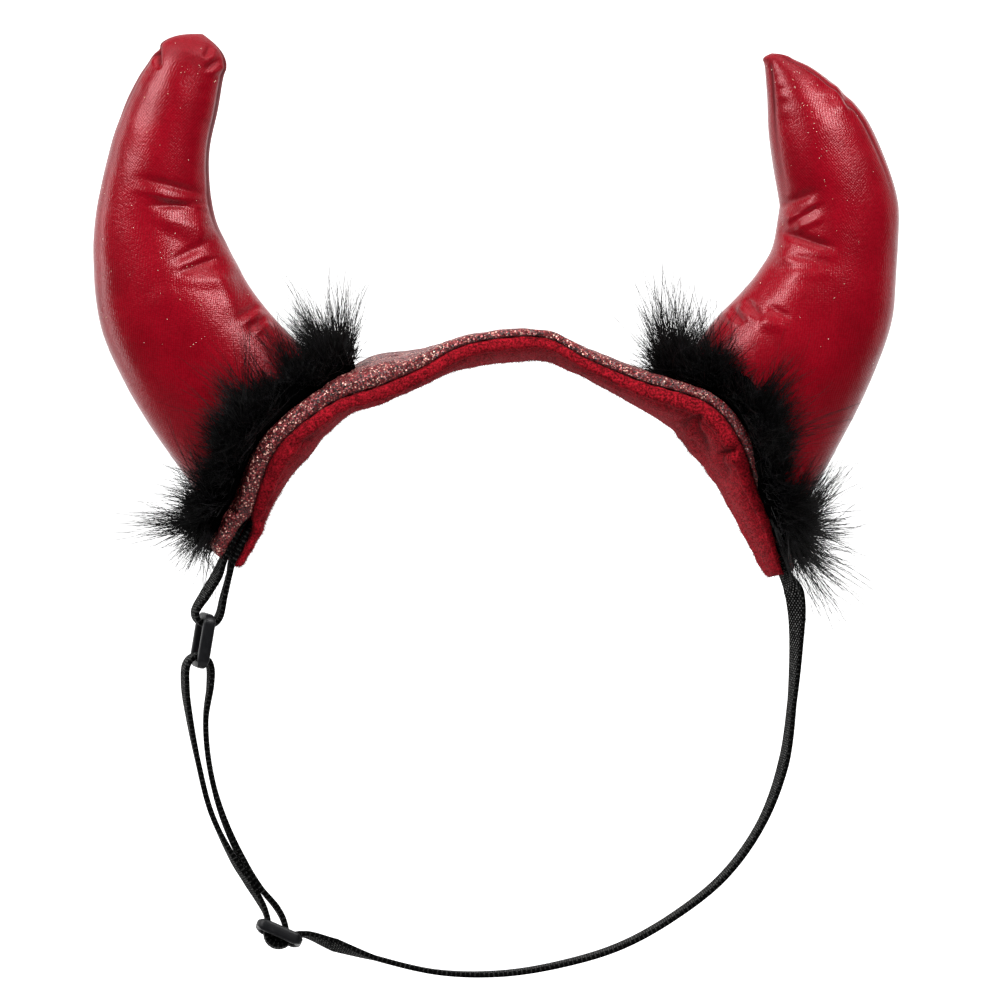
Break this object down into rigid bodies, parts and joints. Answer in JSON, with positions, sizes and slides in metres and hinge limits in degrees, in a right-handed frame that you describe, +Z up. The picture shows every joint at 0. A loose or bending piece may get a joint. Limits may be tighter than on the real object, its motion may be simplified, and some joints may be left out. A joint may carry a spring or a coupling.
{
  "type": "dog costume headband",
  "caption": "Padded arched headband for a dog with stuffed red devil horns, black feather trim round the horn roots and an adjustable flat elastic chin strap with slider and ring",
  "frame": {"origin": "underside of the headband at the top of its arch, half way from front to back, where it rests on the crown of the head", "axes": "+X to the right as seen from the front, along the line from horn to horn; +Z up; the wearer faces -Y, and +Y runs across the headband's width"},
  "size_m": [0.2131, 0.0704, 0.2503],
  "materials": {
    "headband_cover": "red and gold glitter knit",
    "headband_lining": "red fleece",
    "horn_left": "glossy leatherette",
    "horn_right": "glossy leatherette",
    "marabou_left": "black feather",
    "marabou_right": "black feather",
    "strap": "woven elastic",
    "strap_loop": "woven elastic",
    "strap_ring": "moulded",
    "strap_slider": "moulded"
  },
  "bodies": {
    "root": {"headband_cover": "headband_cover", "headband_lining": "headband_lining", "horn_left": "horn_left", "horn_right": "horn_right", "marabou_left": "marabou_left", "marabou_right": "marabou_right", "strap": "strap", "strap_loop": "strap_loop", "strap_ring": "strap_ring", "strap_slider": "strap_slider"}
  },
  "joints": []
}
